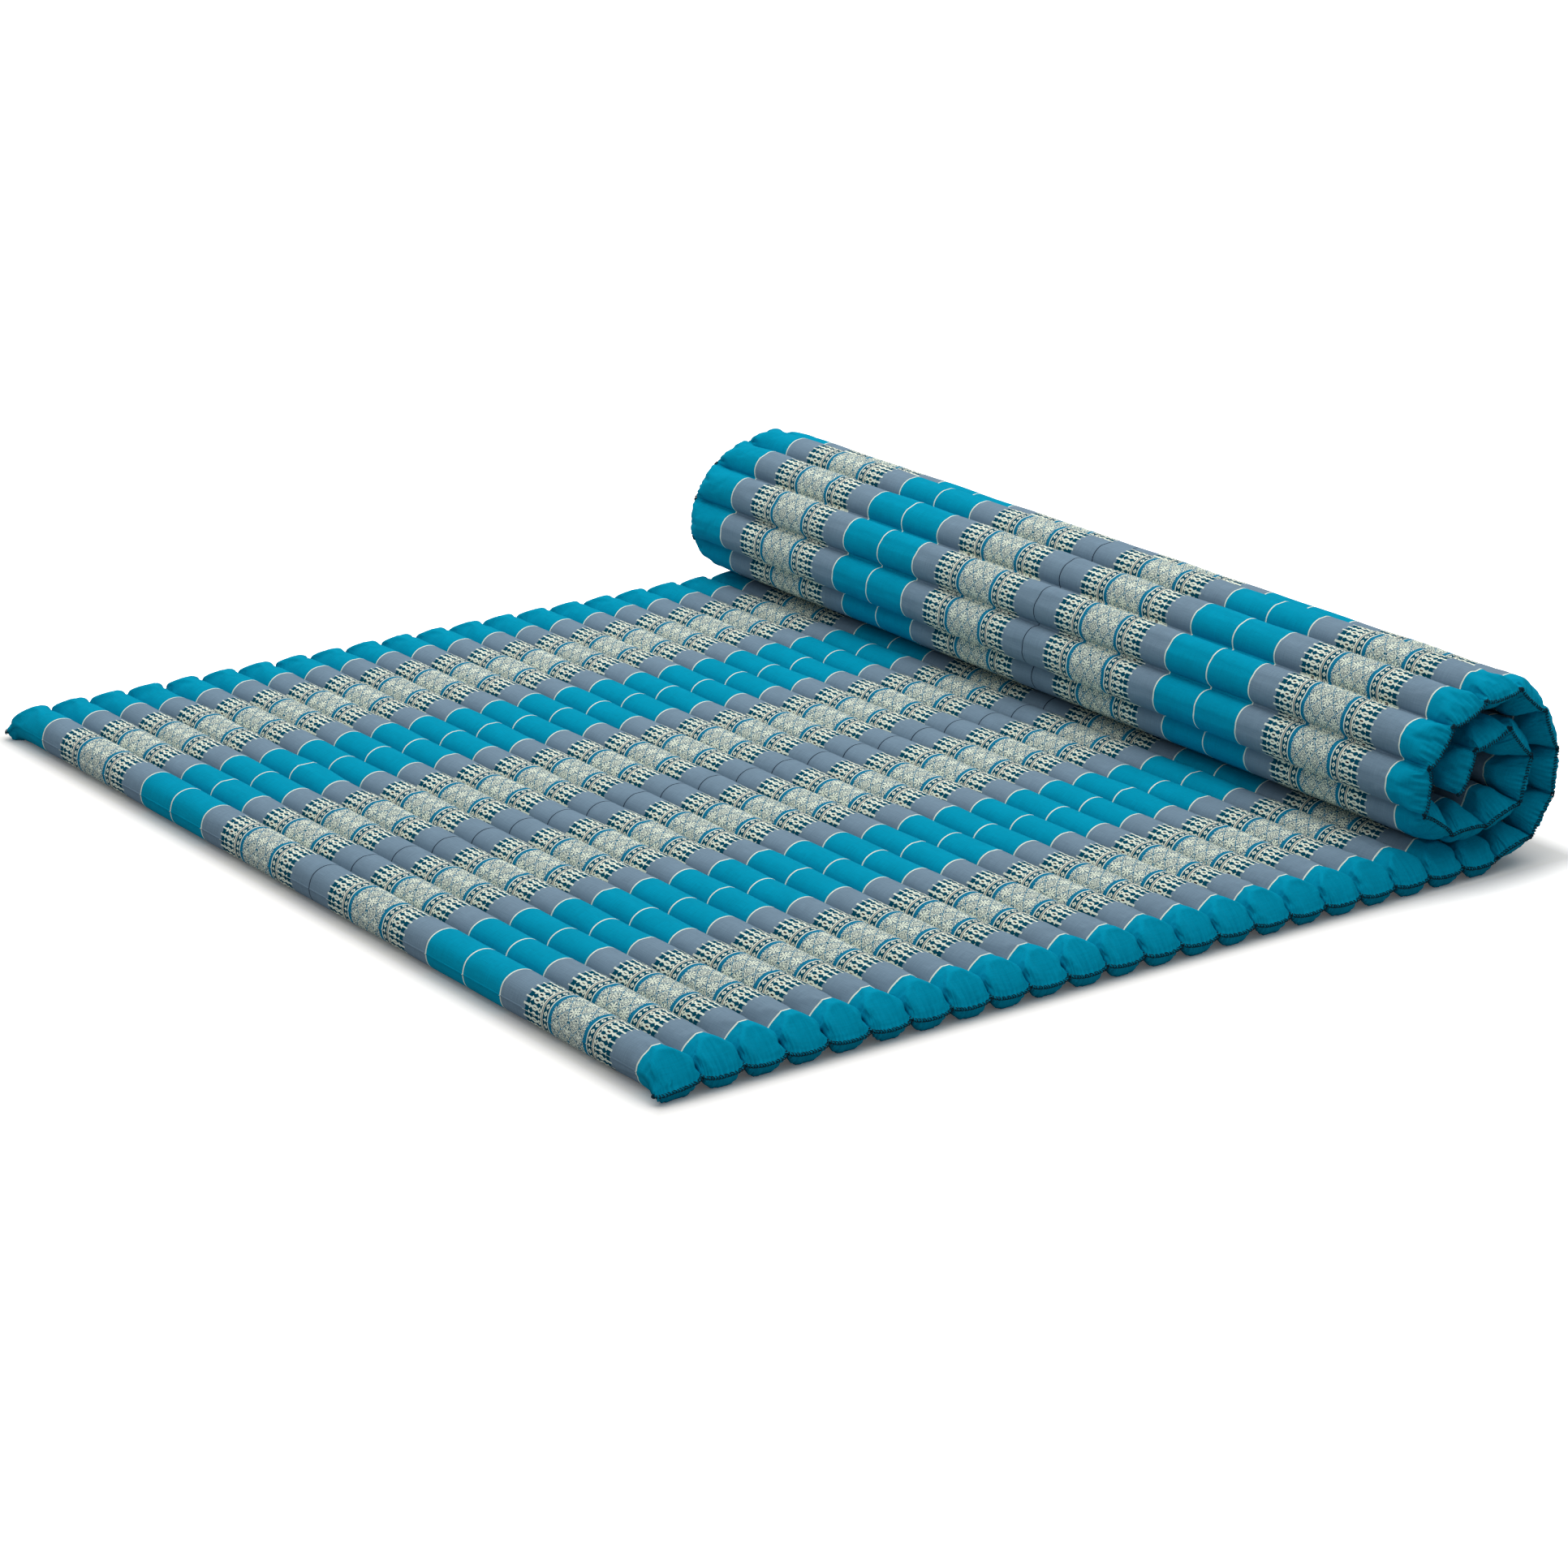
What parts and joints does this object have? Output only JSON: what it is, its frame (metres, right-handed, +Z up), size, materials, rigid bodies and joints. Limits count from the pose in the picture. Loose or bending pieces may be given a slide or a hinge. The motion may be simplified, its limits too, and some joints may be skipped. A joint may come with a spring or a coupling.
{
  "type": "roll-up futon mattress",
  "caption": "Cotton-covered floor mattress of kapok-filled tubes sewn side by side, half laid flat and half rolled up at one end.",
  "frame": {"origin": "on the floor, under the centre of the box around the mattress as it lies half rolled", "axes": "+X along the mattress towards the rolled end, +Y along the padded tubes, +Z up"},
  "size_m": [1.2712, 1.43, 0.2356],
  "materials": {
    "cotton_cover": "matte woven cotton in teal, grey and cream bands",
    "tag_tape": "matte white tape"
  },
  "bodies": {
    "tube_01": {"tube_01": "cotton_cover"},
    "tube_02": {"tube_02": "cotton_cover"},
    "tube_03": {"tube_03": "cotton_cover"},
    "tube_04": {"tube_04": "cotton_cover"},
    "tube_05": {"tube_05": "cotton_cover"},
    "tube_06": {"tube_06": "cotton_cover"},
    "tube_07": {"tube_07": "cotton_cover"},
    "tube_08": {"tube_08": "cotton_cover"},
    "tube_09": {"tube_09": "cotton_cover"},
    "tube_10": {"tube_10": "cotton_cover"},
    "tube_11": {"tube_11": "cotton_cover"},
    "tube_12": {"tube_12": "cotton_cover"},
    "tube_13": {"tube_13": "cotton_cover"},
    "tube_14": {"tube_14": "cotton_cover"},
    "tube_15": {"tube_15": "cotton_cover"},
    "tube_16": {"tube_16": "cotton_cover"},
    "tube_17": {"tube_17": "cotton_cover"},
    "tube_18": {"tube_18": "cotton_cover"},
    "tube_19": {"tube_19": "cotton_cover"},
    "tube_20": {"tube_20": "cotton_cover"},
    "tube_21": {"tube_21": "cotton_cover"},
    "tube_22": {"tube_22": "cotton_cover"},
    "tube_23": {"tube_23": "cotton_cover"},
    "tube_24": {"tube_24": "cotton_cover"},
    "tube_25": {"tube_25": "cotton_cover"},
    "tube_26": {"tube_26": "cotton_cover"},
    "tube_27": {"tube_27": "cotton_cover"},
    "tube_28": {"tube_28": "cotton_cover"},
    "tube_29": {"tube_29": "cotton_cover"},
    "tube_30": {"tube_30": "cotton_cover"},
    "tube_31": {"tube_31": "cotton_cover"},
    "tube_32": {"tube_32": "cotton_cover"},
    "tube_33": {"tube_33": "cotton_cover"},
    "tube_34": {"tube_34": "cotton_cover"},
    "tube_35": {"tube_35": "cotton_cover"},
    "tube_36": {"tube_36": "cotton_cover"},
    "tube_37": {"tube_37": "cotton_cover"},
    "tube_38": {"tube_38": "cotton_cover", "blank_tag": "tag_tape"}
  },
  "joints": [
    {"name": "seam_01_02", "type": "hinge", "parent": "tube_02", "child": "tube_01", "pos_m": [-0.58283, 0, 0.023], "axis": [0, 1, 0], "range_deg": [0, 18.5]},
    {"name": "seam_02_03", "type": "hinge", "parent": "tube_03", "child": "tube_02", "pos_m": [-0.52983, 0, 0.023], "axis": [0, 1, 0], "range_deg": [0, 18]},
    {"name": "seam_03_04", "type": "hinge", "parent": "tube_04", "child": "tube_03", "pos_m": [-0.47684, 0, 0.023], "axis": [0, 1, 0], "range_deg": [0, 17.5]},
    {"name": "seam_04_05", "type": "hinge", "parent": "tube_05", "child": "tube_04", "pos_m": [-0.42384, 0, 0.023], "axis": [0, 1, 0], "range_deg": [0, 16.5]},
    {"name": "seam_05_06", "type": "hinge", "parent": "tube_06", "child": "tube_05", "pos_m": [-0.37084, 0, 0.023], "axis": [0, 1, 0], "range_deg": [0, 16]},
    {"name": "seam_06_07", "type": "hinge", "parent": "tube_07", "child": "tube_06", "pos_m": [-0.31783, 0, 0.023], "axis": [0, 1, 0], "range_deg": [0, 15]},
    {"name": "seam_07_08", "type": "hinge", "parent": "tube_08", "child": "tube_07", "pos_m": [-0.26483, 0, 0.023], "axis": [0, 1, 0], "range_deg": [0, 14.5]},
    {"name": "seam_08_09", "type": "hinge", "parent": "tube_09", "child": "tube_08", "pos_m": [-0.21183, 0, 0.023], "axis": [0, 1, 0], "range_deg": [0, 14.5]},
    {"name": "seam_09_10", "type": "hinge", "parent": "tube_10", "child": "tube_09", "pos_m": [-0.15884, 0, 0.023], "axis": [0, 1, 0], "range_deg": [0, 14.5]},
    {"name": "seam_10_11", "type": "hinge", "parent": "tube_11", "child": "tube_10", "pos_m": [-0.10583, 0, 0.023], "axis": [0, 1, 0], "range_deg": [0, 15]},
    {"name": "seam_11_12", "type": "hinge", "parent": "tube_12", "child": "tube_11", "pos_m": [-0.05284, 0, 0.023], "axis": [0, 1, 0], "range_deg": [0, 15.5]},
    {"name": "seam_12_13", "type": "hinge", "parent": "tube_12", "child": "tube_13", "pos_m": [0.00016, 0, 0.023], "axis": [0, -1, 0], "range_deg": [0, 16.5]},
    {"name": "seam_13_14", "type": "hinge", "parent": "tube_13", "child": "tube_14", "pos_m": [0.05316, 0, 0.023], "axis": [0, -1, 0], "range_deg": [0, 17.5]},
    {"name": "seam_14_15", "type": "hinge", "parent": "tube_14", "child": "tube_15", "pos_m": [0.10616, 0, 0.023], "axis": [0, -1, 0], "range_deg": [0, 18.5]},
    {"name": "seam_15_16", "type": "hinge", "parent": "tube_15", "child": "tube_16", "pos_m": [0.15917, 0, 0.023], "axis": [0, -1, 0], "range_deg": [0, 19]},
    {"name": "seam_16_17", "type": "hinge", "parent": "tube_16", "child": "tube_17", "pos_m": [0.21216, 0, 0.023], "axis": [0, -1, 0], "range_deg": [0, 19]},
    {"name": "seam_17_18", "type": "hinge", "parent": "tube_17", "child": "tube_18", "pos_m": [0.26516, 0, 0.023], "axis": [0, -1, 0], "range_deg": [0, 19]},
    {"name": "seam_18_19", "type": "hinge", "parent": "tube_18", "child": "tube_19", "pos_m": [0.31816, 0, 0.023], "axis": [0, -1, 0], "range_deg": [0, 19]},
    {"name": "seam_19_20", "type": "hinge", "parent": "tube_19", "child": "tube_20", "pos_m": [0.37117, 0, 0.023], "axis": [0, -1, 0], "range_deg": [0, 18]},
    {"name": "seam_20_21", "type": "hinge", "parent": "tube_20", "child": "tube_21", "pos_m": [0.42417, 0, 0.023], "axis": [0, -1, 0], "range_deg": [0, 14.5]},
    {"name": "seam_21_22", "type": "hinge", "parent": "tube_21", "child": "tube_22", "pos_m": [0.47717, 0, 0.023], "axis": [0, -1, 0], "range_deg": [0, 8.5]},
    {"name": "seam_22_23", "type": "hinge", "parent": "tube_22", "child": "tube_23", "pos_m": [0.53016, 0, 0.023], "axis": [0, -1, 0], "range_deg": [-15, 0]},
    {"name": "seam_23_24", "type": "hinge", "parent": "tube_23", "child": "tube_24", "pos_m": [0.58136, 0, 0.03672], "axis": [0, -1, 0], "range_deg": [-41, 0]},
    {"name": "seam_24_25", "type": "hinge", "parent": "tube_24", "child": "tube_25", "pos_m": [0.611, 0, 0.08066], "axis": [0, -1, 0], "range_deg": [-31, 0]},
    {"name": "seam_25_26", "type": "hinge", "parent": "tube_25", "child": "tube_26", "pos_m": [0.61377, 0, 0.13358], "axis": [0, -1, 0], "range_deg": [-28, 0]},
    {"name": "seam_26_27", "type": "hinge", "parent": "tube_26", "child": "tube_27", "pos_m": [0.59137, 0, 0.18162], "axis": [0, -1, 0], "range_deg": [-26, 0]},
    {"name": "seam_27_28", "type": "hinge", "parent": "tube_27", "child": "tube_28", "pos_m": [0.55018, 0, 0.21497], "axis": [0, -1, 0], "range_deg": [-45, 0]},
    {"name": "seam_28_29", "type": "hinge", "parent": "tube_28", "child": "tube_29", "pos_m": [0.49747, 0, 0.20943], "axis": [0, -1, 0], "range_deg": [-16, 0]},
    {"name": "seam_29_30", "type": "hinge", "parent": "tube_29", "child": "tube_30", "pos_m": [0.44833, 0, 0.18958], "axis": [0, -1, 0], "range_deg": [-30, 0]},
    {"name": "seam_30_31", "type": "hinge", "parent": "tube_30", "child": "tube_31", "pos_m": [0.4157, 0, 0.14781], "axis": [0, -1, 0], "range_deg": [-33, 0]},
    {"name": "seam_31_32", "type": "hinge", "parent": "tube_31", "child": "tube_32", "pos_m": [0.41108, 0, 0.09502], "axis": [0, -1, 0], "range_deg": [-61, 0]},
    {"name": "seam_32_33", "type": "hinge", "parent": "tube_32", "child": "tube_33", "pos_m": [0.45502, 0, 0.06538], "axis": [0, -1, 0], "range_deg": [-34, 0]},
    {"name": "seam_33_34", "type": "hinge", "parent": "tube_33", "child": "tube_34", "pos_m": [0.50802, 0, 0.06538], "axis": [0, -1, 0], "range_deg": [-18, 0]},
    {"name": "seam_34_35", "type": "hinge", "parent": "tube_34", "child": "tube_35", "pos_m": [0.55843, 0, 0.08176], "axis": [0, -1, 0], "range_deg": [-57, 0]},
    {"name": "seam_35_36", "type": "hinge", "parent": "tube_35", "child": "tube_36", "pos_m": [0.57215, 0, 0.13295], "axis": [0, -1, 0], "range_deg": [-58, 0]},
    {"name": "seam_36_37", "type": "hinge", "parent": "tube_36", "child": "tube_37", "pos_m": [0.536, 0, 0.17171], "axis": [0, -1, 0], "range_deg": [-65, 0]},
    {"name": "seam_37_38", "type": "hinge", "parent": "tube_37", "child": "tube_38", "pos_m": [0.48559, 0, 0.15533], "axis": [0, -1, 0], "range_deg": [-48, 0]}
  ],
  "couplings": [
    {"joint": "seam_22_23", "follows": "seam_23_24", "ratio": 0.36585},
    {"joint": "seam_24_25", "follows": "seam_23_24", "ratio": 0.7561},
    {"joint": "seam_25_26", "follows": "seam_23_24", "ratio": 0.68293},
    {"joint": "seam_26_27", "follows": "seam_23_24", "ratio": 0.63415},
    {"joint": "seam_27_28", "follows": "seam_23_24", "ratio": 1.0976},
    {"joint": "seam_28_29", "follows": "seam_23_24", "ratio": 0.39024},
    {"joint": "seam_29_30", "follows": "seam_23_24", "ratio": 0.73171},
    {"joint": "seam_30_31", "follows": "seam_23_24", "ratio": 0.80488},
    {"joint": "seam_31_32", "follows": "seam_23_24", "ratio": 1.4878},
    {"joint": "seam_32_33", "follows": "seam_23_24", "ratio": 0.82927},
    {"joint": "seam_33_34", "follows": "seam_23_24", "ratio": 0.43902},
    {"joint": "seam_34_35", "follows": "seam_23_24", "ratio": 1.3902},
    {"joint": "seam_35_36", "follows": "seam_23_24", "ratio": 1.4146},
    {"joint": "seam_36_37", "follows": "seam_23_24", "ratio": 1.5854},
    {"joint": "seam_37_38", "follows": "seam_23_24", "ratio": 1.1707}
  ]
}
